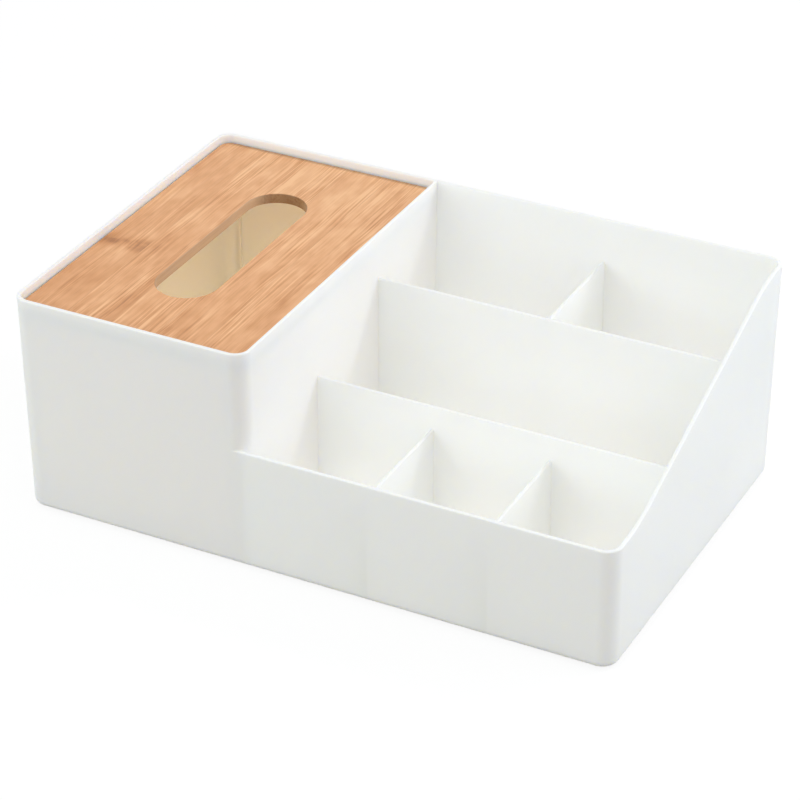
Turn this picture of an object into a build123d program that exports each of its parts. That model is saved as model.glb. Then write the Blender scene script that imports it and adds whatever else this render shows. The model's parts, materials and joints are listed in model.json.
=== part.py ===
"""Desk organizer with a covered tissue bay, in millimetres.

One moulded tray carries everything: a tissue bay on the left under a recessed bamboo lid, and three
rows of open compartments on the right behind a low front. The lid is a board of edge-glued bamboo
strips with a long slot for the tissue. Four soft pads under the floor keep the tray off the table.

Frame: +X to the right, +Y to the back, +Z up. The origin is on the table, under the middle of the rim.
"""

import os

from build123d import *

# Tray, measured over the rim
tray_width = 300.0
tray_depth = 194.0
tray_height = 112.0
wall = 2.0
floor = 2.2
side_lean = 0.6  # how far the left and right walls come in at their feet
end_lean = 2.5  # the same for the front and back walls
corner_radius = 8.0
rim_round = 0.65
foot_round = 3.3
floor_round = 2.0

# Tissue bay
bay_width = 120.4
bay_wall = 1.6  # the wall between the bay and the open side
bay_inner_round = 1.5  # where the bay's right wall meets the back wall

# Open side: a low front, a level back end and a straight slope between them
front_height = 62.0
front_level_length = 26.0
back_level_length = 24.0
slope_round = 80.0

# Dividers run left to right, fins run front to back
partition_top = 1.8
partition_foot = 2.4
partition_round = 0.8
front_row_depth = 66.0
middle_row_depth = 59.5
front_divider_height = 67.0
middle_divider_height = 89.0
front_fin_count = 2
front_fin_height = 55.0
back_fin_count = 1
back_fin_height = 89.5

# Lid and the ribs that it rests on
lid_thickness = 5.0
lid_recess = 4.0
lid_clearance = 0.6
lid_edge_round = 0.5
strip_count = 5
slot_length = 113.0
slot_width = 30.5
rib_width = 1.5
rib_reach = 3.0
rib_inset = 8.0

# Foot pads, glued into shallow seats
pad_diameter = 14.0
pad_stand = 0.8
pad_seat_depth = 0.8
pad_clearance = 0.25
pad_inset = 24.0
pad_edge_round = 0.3

# Places worked out from the sizes
overshoot = 1.0  # how far a cutting solid runs past the face that it opens
base_z = pad_stand
rim_z = base_z + tray_height
bay_face = bay_width - tray_width / 2
bay_left = wall - tray_width / 2
bay_right = bay_face - bay_wall
front_divider_y = wall + front_row_depth + partition_top / 2 - tray_depth / 2
middle_divider_y = front_divider_y + middle_row_depth + partition_top
open_right = tray_width / 2 - wall
seat_level = tray_height - lid_recess - lid_thickness


def outline_at(level, inset):
    """Width and depth of the tray's outline at a height above its underside, moved inwards by an inset."""
    share = 1 - level / tray_height
    return (
        tray_width - 2 * (side_lean * share + inset),
        tray_depth - 2 * (end_lean * share + inset),
    )


def tray_block(low_level, high_level, inset, bottom_round=0.0):
    """A block with the tray's leaning sides and rounded corners, between two heights."""
    low_width, low_depth = outline_at(low_level, inset)
    high_width, high_depth = outline_at(high_level, inset)
    with BuildPart() as block:
        with Locations((0, 0, base_z + (low_level + high_level) / 2)):
            Wedge(
                low_width,
                high_level - low_level,
                low_depth,
                (low_width - high_width) / 2,
                (low_depth - high_depth) / 2,
                (low_width + high_width) / 2,
                (low_depth + high_depth) / 2,
                rotation=(90, 0, 0),
            )
        fillet(block.edges().group_by(Axis.Z)[1], corner_radius - inset)
        if bottom_round > 0:
            fillet(block.faces().sort_by(Axis.Z)[0].edges(), bottom_round)
    return block.part


def right_corner_edges(solid):
    """The two upright edges of a solid's right face, the front one first."""
    edges = solid.faces().sort_by(Axis.X)[-1].edges().sort_by(Axis.Y)
    return edges[0], edges[-1]


def edges_around(faces):
    """The edges that belong to only one of the faces, so not those between two of them."""
    edges = faces.edges()
    return [edge for edge in edges if sum(edge.is_same(other) for other in edges) == 1]


def partition_profile(plane, centre, top_level):
    """The upright section of a divider or fin: thicker at its foot, with a rounded top edge."""
    top_z = base_z + top_level
    with BuildSketch(plane) as profile:
        with BuildLine():
            Polyline(
                (centre - partition_foot / 2, base_z),
                (centre + partition_foot / 2, base_z),
                (centre + partition_top / 2, top_z),
                (centre - partition_top / 2, top_z),
                close=True,
            )
        make_face()
        fillet(profile.vertices().group_by(Axis.Y)[-1], partition_round)
    return profile.sketch


def save(solid, name):
    """Labels a finished piece and writes it to its own file."""
    solid.label = name
    export_step(solid, f"parts/{name}.step")


# Open side's shell: the tray's outline, cut down to the sloped side and hollowed
with BuildPart() as open_side:
    add(tray_block(0, tray_height, 0))
    with BuildSketch(Plane.YZ.offset(-tray_width)) as above_the_slope:
        with BuildLine():
            side_line = FilletPolyline(
                (-tray_depth, base_z + front_height),
                (front_level_length - tray_depth / 2, base_z + front_height),
                (tray_depth / 2 - back_level_length, rim_z),
                (tray_depth, rim_z),
                radius=slope_round,
            )
            Polyline(side_line @ 1, (tray_depth, 2 * rim_z), (-tray_depth, 2 * rim_z), side_line @ 0)
        make_face()
    extrude(amount=2 * tray_width, mode=Mode.SUBTRACT)
    add(tray_block(floor, tray_height + overshoot, wall, floor_round), mode=Mode.SUBTRACT)
    rim_faces = open_side.faces().filter_by(
        lambda face: face.normal_at().Z > 0.5 and face.center().Z > base_z + floor + overshoot
    )
    fillet(edges_around(rim_faces), rim_round)
    split(bisect_by=Plane.YZ.offset(bay_face - 2 * corner_radius), keep=Keep.TOP)

# Tissue bay's block, before it is hollowed
with BuildPart() as bay_block:
    add(tray_block(0, tray_height, 0))
    split(bisect_by=Plane.YZ.offset(bay_face), keep=Keep.BOTTOM)
    fillet(right_corner_edges(bay_block)[0], corner_radius)
    fillet(bay_block.faces().sort_by(Axis.Z)[-1].edges(), rim_round)

# Space inside the bay
with BuildPart() as bay_hollow:
    add(tray_block(floor, tray_height + overshoot, wall))
    split(bisect_by=Plane.YZ.offset(bay_right), keep=Keep.BOTTOM)
    fillet(right_corner_edges(bay_hollow)[0], corner_radius - wall)
    fillet(right_corner_edges(bay_hollow)[1], bay_inner_round)
    fillet(bay_hollow.faces().sort_by(Axis.Z)[0].edges(), floor_round)

# Dividers, fins and lid ribs, trimmed to end inside the walls that carry them
with BuildPart() as partitions:
    divider_start = Plane.YZ.offset(bay_face - bay_wall / 2)
    for centre, level in (
        (front_divider_y, front_divider_height),
        (middle_divider_y, middle_divider_height),
    ):
        extrude(partition_profile(divider_start, centre, level), amount=tray_width / 2 - bay_face)
    for row_back, row_front, count, level in (
        (front_divider_y, -tray_depth / 2, front_fin_count, front_fin_height),
        (tray_depth / 2, middle_divider_y, back_fin_count, back_fin_height),
    ):
        for index in range(count):
            fin_x = bay_face + (open_right - bay_face) * (index + 1) / (count + 1)
            fin_profile = partition_profile(Plane.XZ.offset(-row_back), fin_x, level)
            extrude(fin_profile, amount=row_back - row_front)
    rib_tip = outline_at(seat_level, wall)[1] / 2 - rib_reach
    with BuildSketch(Plane.XY.offset(base_z)) as rib_plan:
        for rib_x in (bay_left + rib_inset, bay_right - rib_inset):
            for rib_end in (-tray_depth / 2, rib_tip):
                with Locations((rib_x, rib_end)):
                    Rectangle(rib_width, tray_depth / 2 - rib_tip, align=(Align.CENTER, Align.MIN))
    extrude(amount=seat_level)
    add(tray_block(floor / 2, tray_height, wall / 2, foot_round - wall / 2), mode=Mode.INTERSECT)

# Moulded tray
pad_places = {
    f"foot_pad_{end}_{side}": (
        side_sign * (tray_width / 2 - pad_inset),
        end_sign * (tray_depth / 2 - pad_inset),
    )
    for end, end_sign in (("front", -1), ("back", 1))
    for side, side_sign in (("left", -1), ("right", 1))
}
with BuildPart() as tray:
    add(open_side.part)
    add(bay_block.part)
    fillet(tray.faces().sort_by(Axis.Z)[0].edges(), foot_round)
    add(bay_hollow.part, mode=Mode.SUBTRACT)
    fillet(tray.faces().sort_by(Axis.Z)[-1].inner_wires()[0].edges(), rim_round)
    add(partitions.part)
    with BuildSketch(Plane.XY.offset(base_z)) as pad_seats:
        with Locations(*pad_places.values()):
            Circle(pad_diameter / 2 + pad_clearance)
    extrude(amount=pad_seat_depth, mode=Mode.SUBTRACT)

# Bamboo board, then its strips
with BuildPart() as lid_board:
    with BuildSketch(Plane.XY.offset(base_z + seat_level)) as lid_plan:
        RectangleRounded(*outline_at(seat_level, wall + lid_clearance), corner_radius - wall - lid_clearance)
    extrude(amount=lid_thickness)
    split(bisect_by=Plane.YZ.offset(bay_right - lid_clearance), keep=Keep.BOTTOM)
    fillet(right_corner_edges(lid_board)[0], corner_radius - wall - lid_clearance)
    fillet(right_corner_edges(lid_board)[1], bay_inner_round)
    lid_middle_x = lid_board.part.bounding_box().center().X
    with BuildSketch(Plane.XY.offset(base_z + seat_level)) as slot:
        with Locations((lid_middle_x, 0)):
            SlotOverall(slot_length, slot_width, rotation=90)
    extrude(amount=lid_thickness, mode=Mode.SUBTRACT)
    fillet(lid_board.faces().sort_by(Axis.Z)[-1].edges(), lid_edge_round)

# Output
os.makedirs("parts", exist_ok=True)
save(tray.part, "tray")
lid_box = lid_board.part.bounding_box()
strip_width = lid_box.size.X / strip_count
for index in range(strip_count):
    with BuildPart() as strip:
        add(lid_board.part)
        with BuildSketch(Plane.XY.offset(base_z + seat_level)):
            with Locations((lid_box.min.X + (index + 0.5) * strip_width, 0)):
                Rectangle(strip_width, tray_depth)
        extrude(amount=lid_thickness, mode=Mode.INTERSECT)
    strip_pieces = strip.part.solids().sort_by(Axis.Y)
    endings = ("",) if len(strip_pieces) == 1 else ("_front", "_back")
    for piece, ending in zip(strip_pieces, endings):
        save(piece, f"lid_strip_{index + 1}{ending}")
for name, (pad_x, pad_y) in pad_places.items():
    with BuildPart() as pad:
        with BuildSketch():
            with Locations((pad_x, pad_y)):
                Circle(pad_diameter / 2)
        extrude(amount=pad_stand + pad_seat_depth)
        fillet(pad.edges().group_by(Axis.Z)[0], pad_edge_round)
    save(pad.part, name)
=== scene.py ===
"""Looks for a desk organizer: satin white plastic, a bamboo lid and soft feet, on a plain studio floor.

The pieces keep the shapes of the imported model. This file gives each of them its finish and sets the stage.
"""

import json
import math

import bpy
from bpy.props import FloatProperty, FloatVectorProperty, PointerProperty
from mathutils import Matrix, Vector


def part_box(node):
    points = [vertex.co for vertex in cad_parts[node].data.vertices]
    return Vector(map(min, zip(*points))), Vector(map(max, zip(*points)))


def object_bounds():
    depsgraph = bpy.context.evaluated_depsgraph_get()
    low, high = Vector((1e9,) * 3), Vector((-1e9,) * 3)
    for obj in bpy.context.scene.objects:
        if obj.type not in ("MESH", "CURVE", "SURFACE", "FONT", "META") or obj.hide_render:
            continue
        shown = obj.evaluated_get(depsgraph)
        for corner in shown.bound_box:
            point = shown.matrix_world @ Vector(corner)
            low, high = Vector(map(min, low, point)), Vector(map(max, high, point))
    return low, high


bl_info = {
    "name": "Desk Organizer Finish",
    "version": (1, 0, 0),
    "blender": (4, 5, 0),
    "location": "View3D > Sidebar > Organizer",
    "description": "Gives a desk organizer with a tissue bay its finishes and sets it on a studio floor",
    "category": "Material",
}

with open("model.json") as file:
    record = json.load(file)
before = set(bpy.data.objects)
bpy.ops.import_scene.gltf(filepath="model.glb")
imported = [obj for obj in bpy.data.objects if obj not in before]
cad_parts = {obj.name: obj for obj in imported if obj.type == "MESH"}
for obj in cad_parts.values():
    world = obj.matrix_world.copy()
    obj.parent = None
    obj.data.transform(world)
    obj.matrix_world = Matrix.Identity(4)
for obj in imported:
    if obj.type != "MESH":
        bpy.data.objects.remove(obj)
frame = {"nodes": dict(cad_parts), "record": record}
cad_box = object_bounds()
openings = {opening["name"]: opening["box_m"] for opening in frame["record"]["physics"]["openings"]}

MM = 0.001

BAY = "tissue_bay"
FRONT_ROW = ("front_left_compartment", "front_middle_compartment", "front_right_compartment")
# Open compartments, each with how strongly light is thrown back and forth between its walls
OPEN_GLOW = {
    "front_left_compartment": 0.57,
    "front_middle_compartment": 0.5,
    "front_right_compartment": 0.5,
    "middle_compartment": 0.41,
    "back_left_compartment": 0.97,
    "back_right_compartment": 1.0,
}

TRAY = "tray"
FOOT_PADS = (
    "foot_pad_front_left",
    "foot_pad_front_right",
    "foot_pad_back_left",
    "foot_pad_back_right",
)
# Strips of the lid, each with the number of the bamboo lath it was cut from
LID_STRIPS = {
    "lid_strip_1": 1,
    "lid_strip_2": 2,
    "lid_strip_3_front": 3,
    "lid_strip_3_back": 3,
    "lid_strip_4": 4,
    "lid_strip_5": 5,
}
# For each lath: how pale it is beside the others, its own tone with painted light that grows to the right,
# and how strongly its streaks show
LATHS = {
    1: (-0.03, 0.7),
    2: (-0.02, 1.2),
    3: (0.0, 0.9),
    4: (0.0, 0.9),
    5: (0.02, 0.85),
}
# Painted light: how much paler the laths get from front to back, for each millimetre
PAINTED_LIGHT_TO_BACK = 0.0006
# The lath that shows a joint of the cane, and where along the lath, in millimetres
JOINT_LATH = 1
JOINT_Y = -21.0

# Marks in the plastic, in millimetres: slow flow marks, rubbed patches, and the satin grain with its depth
FLOW_MARK = (28.0, 28.0, 28.0)
RUBBED_PATCH = (3.0, 3.0, 3.0)
SATIN_GRAIN = (0.4, 0.4, 0.4)
SATIN_DEPTH = 0.004

# Painted shadows of the fins, which darken the front wall's colour, in millimetres
SHADOW_REACH = 16.0  # to the left of the fin
SHADOW_EDGE = 1.5  # to the right of it
SHADOW_FULL = 15.0  # height below which the shadow is full
SHADOW_GONE = 50.0  # height above which there is none
FRONT_WALL = (4.0, 8.0)  # how deep behind the front of the rim the shadow starts to fade, and ends

# Marks in the bamboo, in millimetres across, along and through the lath
CLOUD = (12.0, 45.0, 12.0)
MOTTLE = (4.5, 11.0, 4.5)
GATHERING = (9.0, 90.0, 9.0)  # patches in which streaks gather
SWAY = (25.0, 60.0, 25.0)
PORE = (0.5, 7.0, 0.5)
JOINT_PATCH = (8.0, 6.0, 8.0)
JOINT_STROKE = (2.0, 7.0, 2.0)
STREAK_LENGTH = 50.0
FIBRE_LENGTH = 20.0
FIBRE_DEPTH = 0.015
SWAY_REACH = 3.0
JOINT_CLOUD_REACH = 11.0
JOINT_STROKES = (1.0, 6.0)  # how far from the joint its strokes are full, and end
GLUE_LINE = (0.25, 0.05)  # how far from a strip's side its glue line starts, and is full
END_SHADE_BAND = (3.2, 1.2)  # how far from the board's end its band of painted shade, for the rim's shadow, starts, and is full
# How much each of them counts in the grain's lightness
CLOUD_WEIGHT = 0.4
MOTTLE_WEIGHT = 0.32
FIBRE_WEIGHT = 0.28  # beside the streaks
PORE_WEIGHT = 0.07
JOINT_CLOUD_WEIGHT = 0.4
JOINT_STROKE_WEIGHT = 0.1
FEW_STREAKS = 0.25
MANY_STREAKS = 1.25

# Marks in the rubber, in millimetres
RUBBER_GRAIN = (0.25, 0.25, 0.25)
RUBBER_DUST = (3.5, 3.5, 3.5)
RUBBER_DEPTH = 0.02

# Lamps: where each stands and how wide it is, in metres, and its colour
LAMPS = {
    "key": ((1.03, 1.03, 1.42), 0.3, (1.0, 1.0, 1.0)),
    "side": ((0.65, 0.2, 0.22), 0.3, (0.75, 0.89, 1.0)),
    "front": ((-0.42, -0.93, 0.5), 0.5, (0.92, 1.0, 1.0)),
    "left": ((-1.1, -0.7, 0.35), 0.5, (0.78, 1.0, 1.0)),
    "fill": ((0.75, -0.75, 0.3), 0.4, (1.0, 1.0, 1.0)),
}
# Panels of light in the openings: how high they lie, what share of the opening they take, and their colours
PANEL_LEVEL = 0.03
OPEN_SHARE = 0.92
BAY_SHARE = 0.8
WALL_LIGHT = (1.0, 0.97, 0.95)
FLOOR_LIGHT = (1.0, 0.98, 0.97)
BAY_LIGHT = (1.0, 0.8, 0.46)
UPWARDS = math.pi
DOWNWARDS = 0.0
# Studio floor: its half width in metres, and what the camera sees of it: its own white, and lit grey
FLOOR_HALF = 6.0
FLOOR_WHITE = 0.86
FLOOR_GREY = 0.16


class OrganizerPlastic(bpy.types.PropertyGroup):
    """Finish of the moulded tray."""

    colour: FloatVectorProperty(
        name="Colour",
        description="Colour of the moulded plastic",
        subtype="COLOR",
        min=0.0,
        max=1.0,
        default=(0.948, 0.957, 0.934),
    )
    roughness: FloatProperty(
        name="Roughness",
        description="Mean roughness of the satin surface",
        subtype="FACTOR",
        min=0.0,
        max=1.0,
        default=0.42,
    )
    glow_depth: FloatProperty(
        name="Glow depth",
        description="How far light spreads inside the thin walls",
        subtype="DISTANCE",
        min=0.0,
        default=1.8 * MM,
    )
    # Painted shadow: how much the fins' shadows darken the front wall's colour
    painted_fin_shadow: FloatProperty(
        name="Show-through",
        description="How much darker the front wall is beside the fins behind it",
        subtype="FACTOR",
        min=0.0,
        max=1.0,
        default=0.035,
    )


class OrganizerBamboo(bpy.types.PropertyGroup):
    """Finish of the lid's strips."""

    light: FloatVectorProperty(
        name="Light",
        description="Colour between the streaks",
        subtype="COLOR",
        min=0.0,
        max=1.0,
        default=(0.965, 0.56, 0.287),
    )
    middle: FloatVectorProperty(
        name="Middle",
        description="Colour of most of the bamboo",
        subtype="COLOR",
        min=0.0,
        max=1.0,
        default=(0.825, 0.423, 0.197),
    )
    dark: FloatVectorProperty(
        name="Dark",
        description="Colour of the streaks",
        subtype="COLOR",
        min=0.0,
        max=1.0,
        default=(0.68, 0.308, 0.12),
    )
    deep: FloatVectorProperty(
        name="Deep",
        description="Colour of the pores and of the cane's joint",
        subtype="COLOR",
        min=0.0,
        max=1.0,
        default=(0.42, 0.165, 0.055),
    )
    sawn: FloatVectorProperty(
        name="Sawn",
        description="Colour of the faces that were sawn along the grain",
        subtype="COLOR",
        min=0.0,
        max=1.0,
        default=(0.6, 0.42, 0.285),
    )
    roughness: FloatProperty(
        name="Roughness",
        description="Mean roughness of the matt lacquer",
        subtype="FACTOR",
        min=0.0,
        max=1.0,
        default=0.46,
    )
    streak_width: FloatProperty(
        name="Streak width",
        description="Usual width of a streak of the grain",
        subtype="DISTANCE",
        min=0.1 * MM,
        default=1.1 * MM,
    )
    end_grain: FloatProperty(
        name="End grain",
        description="How light the cut ends are, beside the faces along the grain",
        subtype="FACTOR",
        min=0.0,
        max=1.0,
        default=0.345,
    )
    glue_line: FloatProperty(
        name="Glue line",
        description="How light the glue lines are, beside the wood",
        subtype="FACTOR",
        min=0.0,
        max=1.0,
        default=0.88,
    )
    # Painted shade along the board's two ends, where the rim's shadow falls on the lid
    painted_end_shade: FloatProperty(
        name="Soaked end",
        description="How light the top is along the board's two ends, where the lacquer soaked in",
        subtype="FACTOR",
        min=0.0,
        max=1.0,
        default=0.7,
    )


class OrganizerPads(bpy.types.PropertyGroup):
    """Finish of the foot pads."""

    colour: FloatVectorProperty(
        name="Colour",
        description="Colour of the rubber",
        subtype="COLOR",
        min=0.0,
        max=1.0,
        default=(0.55, 0.56, 0.56),
    )
    roughness: FloatProperty(
        name="Roughness",
        description="Mean roughness of the rubber",
        subtype="FACTOR",
        min=0.0,
        max=1.0,
        default=0.8,
    )


class OrganizerStage(bpy.types.PropertyGroup):
    """Camera, lights and floor."""

    azimuth: FloatProperty(
        name="Azimuth",
        description="How far the camera stands to the right of the front",
        subtype="ANGLE",
        default=math.radians(27.0),
    )
    elevation: FloatProperty(
        name="Elevation",
        description="How far the camera looks down",
        subtype="ANGLE",
        default=math.radians(30.83),
    )
    distance: FloatProperty(
        name="Distance",
        description="From the camera to the point that it looks at",
        subtype="DISTANCE",
        default=1.4479,
    )
    look_at: FloatVectorProperty(
        name="Look at",
        description="Point in the middle of the picture",
        subtype="XYZ",
        unit="LENGTH",
        default=(-0.0106, 0.0179, 0.0355),
    )
    lens: FloatProperty(
        name="Lens",
        description="Focal length, in millimetres",
        subtype="DISTANCE_CAMERA",
        default=136.92,
    )
    ambient: FloatProperty(
        name="Ambient",
        description="Strength of the even light from all round",
        subtype="FACTOR",
        default=0.742,
    )
    floor_bounce: FloatVectorProperty(
        name="Floor bounce",
        description="How much of each colour of light the floor throws back at the object",
        subtype="COLOR",
        min=0.0,
        max=1.0,
        default=(0.42, 0.405, 0.375),
    )
    key_power: FloatProperty(
        name="Key light",
        description="Power of the light from the back right",
        subtype="POWER",
        default=6.0,
    )
    side_power: FloatProperty(
        name="Side light",
        description="Power of the near soft light from the right",
        subtype="POWER",
        default=0.94,
    )
    front_power: FloatProperty(
        name="Front light",
        description="Power of the soft light from the front left",
        subtype="POWER",
        default=1.7,
    )
    left_power: FloatProperty(
        name="Left light",
        description="Power of the soft light from the left",
        subtype="POWER",
        default=2.0,
    )
    fill_power: FloatProperty(
        name="Fill light",
        description="Power of the soft light from the front right",
        subtype="POWER",
        default=0.4,
    )
    open_glow: FloatProperty(
        name="Open side glow",
        description="Strength of the light that the open compartments throw back and forth",
        subtype="FACTOR",
        default=1.0,
    )
    floor_glow: FloatProperty(
        name="Floor glow",
        description="Strength of the light that the compartments' walls throw on their floors",
        subtype="FACTOR",
        default=0.15,
    )
    bay_glow: FloatProperty(
        name="Bay glow",
        description="Strength of the light that shines into the tissue bay through its thin walls",
        subtype="FACTOR",
        default=1.12,
    )


def add_node(tree, kind, settings=None, **inputs):
    """Adds a node, with inputs given by name as a socket to link or a value to set."""
    node = tree.nodes.new(kind)
    for name, value in (settings or {}).items():
        setattr(node, name, value)
    for name, value in inputs.items():
        connect(tree, value, node.inputs[name.replace("_", " ")])
    return node


def connect(tree, value, socket):
    """Links a socket to an input, or sets the input to a value."""
    if isinstance(value, bpy.types.NodeSocket):
        tree.links.new(value, socket)
    else:
        socket.default_value = value


def new_material(name):
    """An empty material with its output node."""
    material = bpy.data.materials.new(name)
    material.use_nodes = True
    tree = material.node_tree
    tree.nodes.clear()
    output = tree.nodes.new("ShaderNodeOutputMaterial")
    return material, tree, output


def dress(node_name, material):
    """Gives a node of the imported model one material."""
    slots = frame["nodes"][node_name].data.materials
    slots.clear()
    slots.append(material)


def millimetres(tree):
    """The place on a piece, in millimetres, which stays with the piece when it moves."""
    place = tree.nodes.new("ShaderNodeTexCoord")
    scaled = add_node(
        tree,
        "ShaderNodeVectorMath",
        {"operation": "SCALE"},
        Vector=place.outputs["Object"],
        Scale=1 / MM,
    )
    return scaled.outputs["Vector"]


def noise(tree, place, size, seed=0.0, detail=1.0, output="Fac"):
    """Noise whose spots have a given size along each axis, in millimetres."""
    stretched = add_node(
        tree,
        "ShaderNodeMapping",
        Vector=place,
        Location=(seed, 2 * seed, 3 * seed),
        Scale=[1 / length for length in size],
    )
    texture = add_node(
        tree,
        "ShaderNodeTexNoise",
        Vector=stretched.outputs["Vector"],
        Scale=1.0,
        Detail=detail,
        Roughness=0.5,
    )
    return texture.outputs[output]


def arithmetic(tree, operation, *values):
    """A sum on sockets and numbers."""
    node = add_node(tree, "ShaderNodeMath", {"operation": operation})
    for value, socket in zip(values, node.inputs):
        connect(tree, value, socket)
    return node.outputs[0]


def spread(tree, value, low, high, start, end):
    """Maps a value from low to high smoothly onto start to end, and holds it there beyond them."""
    node = add_node(
        tree,
        "ShaderNodeMapRange",
        {"interpolation_type": "SMOOTHSTEP"},
        Value=value,
        From_Min=low,
        From_Max=high,
        To_Min=start,
        To_Max=end,
    )
    return node.outputs["Result"]


def shade(tree, colour, factor):
    """A colour made lighter or darker by a factor."""
    node = add_node(tree, "ShaderNodeVectorMath", {"operation": "SCALE"}, Vector=colour, Scale=factor)
    return node.outputs["Vector"]


def blend(tree, factor, first, second):
    """A colour between two, which is the second one where the factor is 1."""
    node = tree.nodes.new("ShaderNodeMix")
    node.data_type = "RGBA"
    for value, name in ((factor, "Factor_Float"), (first, "A_Color"), (second, "B_Color")):
        socket = next(entry for entry in node.inputs if entry.identifier == name)
        connect(tree, value if isinstance(value, bpy.types.NodeSocket) else (*value, 1.0), socket)
    return next(entry for entry in node.outputs if entry.identifier == "Result_Color")


def ramp(tree, value, *stops):
    """A colour picked from stops of place and colour."""
    node = add_node(tree, "ShaderNodeValToRGB", Fac=value)
    elements = node.color_ramp.elements
    while len(elements) < len(stops):
        elements.new(1.0)
    for element, (place, colour) in zip(elements, stops):
        element.position = place
        element.color = (*colour, 1.0)
    return node.outputs["Color"]


def two_tone(tree, value, colour, darkest):
    """A colour that noise makes darker in places, down to a share of itself."""
    return ramp(tree, value, (0.3, [channel * darkest for channel in colour]), (0.7, colour))


def bump(tree, height, depth):
    """A surface normal from a height map that is a given number of millimetres deep."""
    node = add_node(tree, "ShaderNodeBump", Strength=1.0, Distance=depth * MM, Height=height)
    return node.outputs["Normal"]


def front_fins():
    """Where the fins of the front row stand along X, in millimetres: midway between its compartments."""
    row = [openings[name] for name in FRONT_ROW]
    return [(left[1][0] + right[0][0]) / 2 / MM for left, right in zip(row, row[1:])]


def fin_shadows(tree, place):
    """How strongly painted shadows of the front fins darken the thin front wall, mostly near its foot."""
    axes = add_node(tree, "ShaderNodeSeparateXYZ", Vector=place)
    fade_start, fade_end = (cad_box[0][1] / MM + depth for depth in FRONT_WALL)
    near_front = spread(tree, axes.outputs["Y"], fade_start, fade_end, 1.0, 0.0)
    near_foot = spread(tree, axes.outputs["Z"], SHADOW_FULL, SHADOW_GONE, 1.0, 0.0)
    shadow = 0.0
    for fin in front_fins():
        left_side = spread(tree, axes.outputs["X"], fin - SHADOW_REACH, fin, 0.0, 1.0)
        right_side = spread(tree, axes.outputs["X"], fin, fin + SHADOW_EDGE, 1.0, 0.0)
        shadow = arithmetic(tree, "MULTIPLY_ADD", left_side, right_side, shadow)
    return arithmetic(tree, "MULTIPLY", shadow, arithmetic(tree, "MULTIPLY", near_front, near_foot))


class ORGANIZER_OT_finish_tray(bpy.types.Operator):
    """Give the moulded tray its satin, slightly translucent plastic"""

    bl_idname = "organizer.finish_tray"
    bl_label = "Finish Tray"

    def execute(self, context):
        plastic = context.scene.organizer_plastic
        material, tree, output = new_material("white_plastic")
        place = millimetres(tree)
        flow = noise(tree, place, FLOW_MARK, detail=2.0)
        satin = noise(tree, place, SATIN_GRAIN)
        rub = arithmetic(tree, "ADD", flow, noise(tree, place, RUBBED_PATCH, seed=5.0))
        colour = two_tone(tree, flow, plastic.colour, 0.985)
        # Painted shadows of the front fins darken the front wall's colour
        shadows = arithmetic(tree, "MULTIPLY_ADD", fin_shadows(tree, place), -plastic.painted_fin_shadow, 1.0)
        shader = add_node(
            tree,
            "ShaderNodeBsdfPrincipled",
            Base_Color=shade(tree, colour, shadows),
            Roughness=spread(tree, rub, 0.7, 1.3, plastic.roughness - 0.06, plastic.roughness + 0.06),
            IOR=1.49,
            Normal=bump(tree, satin, SATIN_DEPTH),
            Subsurface_Weight=1.0,
            Subsurface_Radius=(1.0, 0.95, 0.8),
            Subsurface_Scale=plastic.glow_depth,
        )
        tree.links.new(shader.outputs["BSDF"], output.inputs["Surface"])
        dress(TRAY, material)
        return {"FINISHED"}


def weigh(tree, *parts):
    """A half and noises, each taken about its middle and times its weight."""
    level = 0.5
    for value, weight in parts:
        level = arithmetic(tree, "MULTIPLY_ADD", arithmetic(tree, "SUBTRACT", value, 0.5), weight, level)
    return level


def bamboo_grain(tree, place, lath, width, strength):
    """How light the grain is at a place, and its fibres: streaks that come and go, mottles and clouds."""
    clouds = noise(tree, place, CLOUD, seed=13.0 * lath)
    mottles = noise(tree, place, MOTTLE, seed=19.0 * lath)
    gathered = noise(tree, place, GATHERING, seed=23.0 * lath)
    sway = noise(tree, place, SWAY, seed=lath, output="Color")
    swayed = add_node(tree, "ShaderNodeVectorMath", {"operation": "MULTIPLY_ADD"})
    for value, socket in zip((sway, (SWAY_REACH, 0.0, 0.0), place), swayed.inputs):
        connect(tree, value, socket)
    along = swayed.outputs["Vector"]
    fibre_width = 0.4 * width
    streaks = noise(tree, along, (width, STREAK_LENGTH, width), seed=7.0 * lath, detail=1.5)
    fibres = noise(tree, along, (fibre_width, FIBRE_LENGTH, fibre_width), seed=11.0 * lath)
    pores = noise(tree, along, PORE, seed=17.0 * lath)
    share = spread(tree, gathered, 0.38, 0.62, FEW_STREAKS * strength, MANY_STREAKS * strength)
    level = weigh(
        tree,
        (streaks, share),
        (fibres, arithmetic(tree, "MULTIPLY", share, FIBRE_WEIGHT)),
        (clouds, CLOUD_WEIGHT),
        (mottles, MOTTLE_WEIGHT),
    )
    return arithmetic(tree, "SUBTRACT", level, spread(tree, pores, 0.6, 0.75, 0.0, PORE_WEIGHT)), fibres


def cane_joint(tree, place, along):
    """How dark a joint of the cane makes the bamboo: a soft cloud with short strokes in it."""
    distance = arithmetic(tree, "ABSOLUTE", arithmetic(tree, "SUBTRACT", along, JOINT_Y))
    cloud = spread(tree, distance, 0.0, JOINT_CLOUD_REACH, JOINT_CLOUD_WEIGHT, 0.0)
    patches = spread(tree, noise(tree, place, JOINT_PATCH, seed=3.0), 0.35, 0.65, 0.55, 1.0)
    near = spread(tree, distance, *JOINT_STROKES, JOINT_STROKE_WEIGHT, 0.0)
    strokes = spread(tree, noise(tree, place, JOINT_STROKE, seed=4.0), 0.45, 0.7, 0.0, 1.0)
    soft = arithmetic(tree, "MULTIPLY", cloud, patches)
    return arithmetic(tree, "MULTIPLY_ADD", near, strokes, soft)


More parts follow.
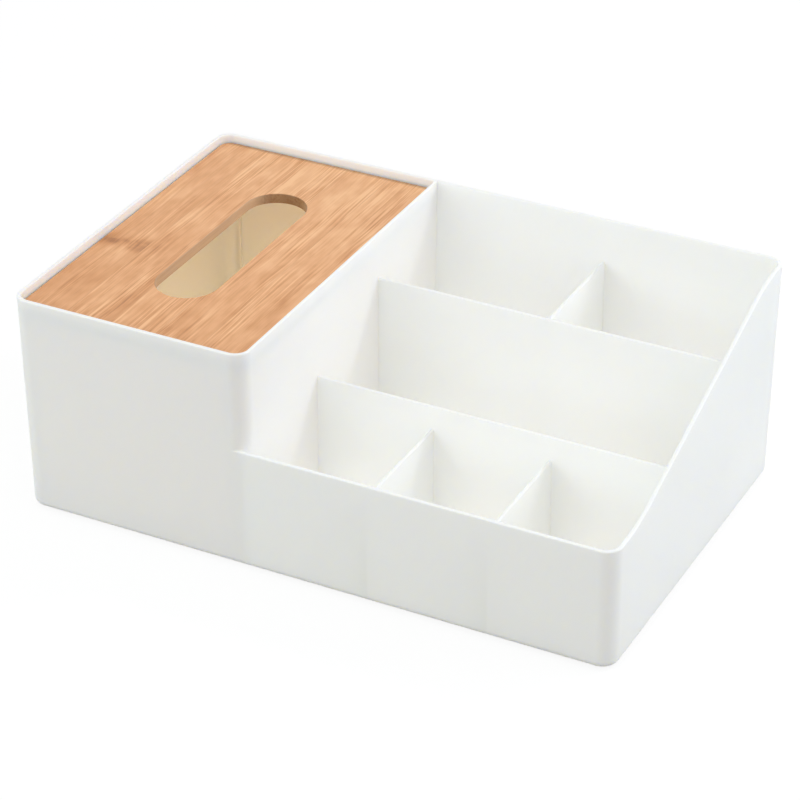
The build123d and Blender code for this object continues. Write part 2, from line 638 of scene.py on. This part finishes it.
def bamboo(name, lath, bamboo_finish):
    """One strip of bamboo, with its grain along Y, glue lines, greyer sawn sides, dark end grain, painted
    light that grows towards the back, and painted shade along the board's ends.
    """
    material, tree, output = new_material(name)
    place = millimetres(tree)
    axes = add_node(tree, "ShaderNodeSeparateXYZ", Vector=place)
    tone_and_light, strength = LATHS[lath]
    level, fibres = bamboo_grain(tree, place, lath, bamboo_finish.streak_width / MM, strength)
    # Painted light: paler to the right through the laths' tones, and paler towards the back
    painted_light_drift = arithmetic(tree, "MULTIPLY_ADD", axes.outputs["Y"], PAINTED_LIGHT_TO_BACK, tone_and_light)
    level = arithmetic(tree, "ADD", level, painted_light_drift)
    if lath == JOINT_LATH:
        level = arithmetic(tree, "SUBTRACT", level, cane_joint(tree, place, axes.outputs["Y"]))
    grain = ramp(
        tree,
        level,
        (0.0, bamboo_finish.deep),
        (0.3, bamboo_finish.dark),
        (0.5, bamboo_finish.middle),
        (0.7, bamboo_finish.light),
    )

    facing = tree.nodes.new("ShaderNodeTexCoord")
    normal = add_node(tree, "ShaderNodeSeparateXYZ", Vector=facing.outputs["Normal"])
    side_on = arithmetic(tree, "ABSOLUTE", normal.outputs["X"])
    end_on = arithmetic(tree, "ABSOLUTE", normal.outputs["Y"])
    colour = blend(tree, spread(tree, side_on, 0.4, 0.9, 0.0, 0.8), grain, bamboo_finish.sawn)

    low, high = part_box(name)
    middle = (low[0] + high[0]) / 2 / MM
    half = (high[0] - low[0]) / 2 / MM
    aside = arithmetic(tree, "ABSOLUTE", arithmetic(tree, "SUBTRACT", axes.outputs["X"], middle))
    glue_start, glue_full = (half - distance for distance in GLUE_LINE)
    glue = spread(tree, aside, glue_start, glue_full, 1.0, bamboo_finish.glue_line)
    ends = spread(tree, end_on, 0.2, 1.0, 1.0, bamboo_finish.end_grain)
    lid_end = max(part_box(strip)[1][1] for strip in LID_STRIPS) / MM
    # Painted shade along the board's two ends, for the rim's shadow on the lid
    end_shade_start, end_shade_full = (lid_end - distance for distance in END_SHADE_BAND)
    away = arithmetic(tree, "ABSOLUTE", axes.outputs["Y"])
    end_shade = spread(tree, away, end_shade_start, end_shade_full, 1.0, bamboo_finish.painted_end_shade)
    darkening = arithmetic(tree, "MULTIPLY", arithmetic(tree, "MULTIPLY", glue, ends), end_shade)

    roughness = bamboo_finish.roughness
    shader = add_node(
        tree,
        "ShaderNodeBsdfPrincipled",
        Base_Color=shade(tree, colour, darkening),
        Roughness=spread(tree, fibres, 0.3, 0.7, roughness + 0.07, roughness - 0.07),
        IOR=1.5,
        Normal=bump(tree, fibres, FIBRE_DEPTH),
    )
    tree.links.new(shader.outputs["BSDF"], output.inputs["Surface"])
    return material


class ORGANIZER_OT_finish_lid(bpy.types.Operator):
    """Give each strip of the lid its own piece of bamboo"""

    bl_idname = "organizer.finish_lid"
    bl_label = "Finish Lid"

    def execute(self, context):
        for name, lath in LID_STRIPS.items():
            dress(name, bamboo(name, lath, context.scene.organizer_bamboo))
        return {"FINISHED"}


class ORGANIZER_OT_finish_pads(bpy.types.Operator):
    """Give the foot pads their matt rubber"""

    bl_idname = "organizer.finish_pads"
    bl_label = "Finish Pads"

    def execute(self, context):
        pads = context.scene.organizer_pads
        material, tree, output = new_material("pad_rubber")
        place = millimetres(tree)
        grain = noise(tree, place, RUBBER_GRAIN, detail=2.0)
        dust = noise(tree, place, RUBBER_DUST, detail=2.0)
        shader = add_node(
            tree,
            "ShaderNodeBsdfPrincipled",
            Base_Color=two_tone(tree, dust, pads.colour, 0.88),
            Roughness=spread(tree, dust, 0.3, 0.7, pads.roughness - 0.08, pads.roughness + 0.08),
            Normal=bump(tree, grain, RUBBER_DEPTH),
        )
        tree.links.new(shader.outputs["BSDF"], output.inputs["Surface"])
        for name in FOOT_PADS:
            dress(name, material)
        return {"FINISHED"}


def seen_rays(tree):
    """A factor that is 1 for what the camera sees, straight, in a reflection or through something clear."""
    path = tree.nodes.new("ShaderNodeLightPath")
    seen = arithmetic(tree, "MAXIMUM", path.outputs["Is Camera Ray"], path.outputs["Is Glossy Ray"])
    return arithmetic(tree, "MAXIMUM", seen, path.outputs["Is Transmission Ray"])


def add_studio_floor(scene, bounce):
    """A wide pale floor, which is white where the light reaches it and keeps the object's soft shadow."""
    mesh = bpy.data.meshes.new("studio_floor")
    corners = [(x * FLOOR_HALF, y * FLOOR_HALF, 0.0) for x, y in ((-1, -1), (1, -1), (1, 1), (-1, 1))]
    mesh.from_pydata(corners, [], [(0, 1, 2, 3)])
    floor = bpy.data.objects.new("studio_floor", mesh)
    scene.collection.objects.link(floor)
    material, tree, output = new_material("studio_floor")
    paint = add_node(tree, "ShaderNodeBsdfDiffuse", Color=(*bounce, 1.0))
    lit = add_node(tree, "ShaderNodeBsdfDiffuse", Color=(FLOOR_GREY, FLOOR_GREY, FLOOR_GREY, 1.0))
    white = add_node(tree, "ShaderNodeEmission", Strength=FLOOR_WHITE)
    both = tree.nodes.new("ShaderNodeAddShader")
    tree.links.new(lit.outputs[0], both.inputs[0])
    tree.links.new(white.outputs[0], both.inputs[1])
    pick = add_node(tree, "ShaderNodeMixShader", Fac=seen_rays(tree))
    tree.links.new(paint.outputs[0], pick.inputs[1])
    tree.links.new(both.outputs[0], pick.inputs[2])
    tree.links.new(pick.outputs[0], output.inputs["Surface"])
    mesh.materials.append(material)


def set_world(scene, strength):
    """Even white light from all round, in front of a white background."""
    world = bpy.data.worlds.new("studio")
    world.use_nodes = True
    tree = world.node_tree
    tree.nodes.clear()
    output = tree.nodes.new("ShaderNodeOutputWorld")
    ambient = add_node(tree, "ShaderNodeBackground", Color=(1, 1, 1, 1), Strength=strength)
    white = add_node(tree, "ShaderNodeBackground", Color=(1, 1, 1, 1), Strength=1.0)
    pick = add_node(tree, "ShaderNodeMixShader", Fac=seen_rays(tree))
    tree.links.new(ambient.outputs[0], pick.inputs[1])
    tree.links.new(white.outputs[0], pick.inputs[2])
    tree.links.new(pick.outputs[0], output.inputs["Surface"])
    scene.world = world


def add_area_light(name, place, size, power, colour):
    """A square soft light that stands at a place and points at the object, and can't be seen itself."""
    data = bpy.data.lights.new(name, "AREA")
    data.size = size
    data.energy = power
    data.color = colour
    light = bpy.data.objects.new(name, data)
    light.location = place
    light.rotation_euler = (-light.location).to_track_quat("-Z", "Y").to_euler()
    light.visible_camera = False
    bpy.context.collection.objects.link(light)


def add_panel_light(name, opening, share, turn, strength, colour):
    """A level panel of light near the floor of an opening of the tray, which can't be seen itself.

    The panel takes a share of the opening's length and width.
    """
    low, high = (Vector(corner) for corner in openings[opening])
    size = high - low
    data = bpy.data.lights.new(name, "AREA")
    data.shape = "RECTANGLE"
    data.size = share * size.x
    data.size_y = share * size.y
    data.energy = strength * math.pi * data.size * data.size_y
    data.color = colour
    light = bpy.data.objects.new(name, data)
    light.location = (low.x + size.x / 2, low.y + size.y / 2, low.z + PANEL_LEVEL * size.z)
    light.rotation_euler = (turn, 0.0, 0.0)
    light.visible_camera = False
    bpy.context.collection.objects.link(light)


def add_camera(scene, stage):
    """A long lens on the front right, a little above."""
    data = bpy.data.cameras.new("camera")
    data.sensor_width = 36.0
    data.lens = stage.lens
    data.clip_end = 50.0
    camera = bpy.data.objects.new("camera", data)
    away = Vector(
        (
            math.sin(stage.azimuth) * math.cos(stage.elevation),
            -math.cos(stage.azimuth) * math.cos(stage.elevation),
            math.sin(stage.elevation),
        )
    )
    camera.location = Vector(stage.look_at) + away * stage.distance
    camera.rotation_euler = (-away).to_track_quat("-Z", "Y").to_euler()
    scene.collection.objects.link(camera)
    scene.camera = camera


class ORGANIZER_OT_set_stage(bpy.types.Operator):
    """Set the floor, the lights and the camera"""

    bl_idname = "organizer.set_stage"
    bl_label = "Set Stage"

    def execute(self, context):
        scene = context.scene
        stage = scene.organizer_stage
        add_studio_floor(scene, stage.floor_bounce)
        set_world(scene, stage.ambient)
        for name, (place, width, colour) in LAMPS.items():
            add_area_light(f"{name}_light", place, width, getattr(stage, f"{name}_power"), colour)
        for name, share in OPEN_GLOW.items():
            glow = stage.open_glow * share
            add_panel_light(f"{name}_walls", name, OPEN_SHARE, UPWARDS, glow, WALL_LIGHT)
            add_panel_light(f"{name}_floor", name, OPEN_SHARE, DOWNWARDS, stage.floor_glow, FLOOR_LIGHT)
        add_panel_light(f"{BAY}_walls", BAY, BAY_SHARE, UPWARDS, stage.bay_glow, BAY_LIGHT)
        add_camera(scene, stage)
        scene.view_settings.view_transform = "Standard"
        return {"FINISHED"}


class ORGANIZER_PT_panel(bpy.types.Panel):
    """Lists the organizer's finishes and its stage"""

    bl_label = "Desk Organizer"
    bl_idname = "ORGANIZER_PT_panel"
    bl_space_type = "VIEW_3D"
    bl_region_type = "UI"
    bl_category = "Organizer"

    def draw(self, context):
        layout = self.layout
        for name in SETTINGS:
            box = layout.box()
            group = getattr(context.scene, name)
            for entry in group.__annotations__:
                box.prop(group, entry)
        for operator in OPERATORS:
            layout.operator(operator.bl_idname)


SETTINGS = {
    "organizer_plastic": OrganizerPlastic,
    "organizer_bamboo": OrganizerBamboo,
    "organizer_pads": OrganizerPads,
    "organizer_stage": OrganizerStage,
}
OPERATORS = (
    ORGANIZER_OT_finish_tray,
    ORGANIZER_OT_finish_lid,
    ORGANIZER_OT_finish_pads,
    ORGANIZER_OT_set_stage,
)
CLASSES = (*SETTINGS.values(), *OPERATORS, ORGANIZER_PT_panel)


def register():
    for cls in CLASSES:
        bpy.utils.register_class(cls)
    for name, group in SETTINGS.items():
        setattr(bpy.types.Scene, name, PointerProperty(type=group))


def unregister():
    for name in SETTINGS:
        delattr(bpy.types.Scene, name)
    for cls in reversed(CLASSES):
        bpy.utils.unregister_class(cls)


def main():
    register()
    bpy.ops.organizer.finish_tray()
    bpy.ops.organizer.finish_lid()
    bpy.ops.organizer.finish_pads()
    bpy.ops.organizer.set_stage()


if __name__ == "__main__":
    main()
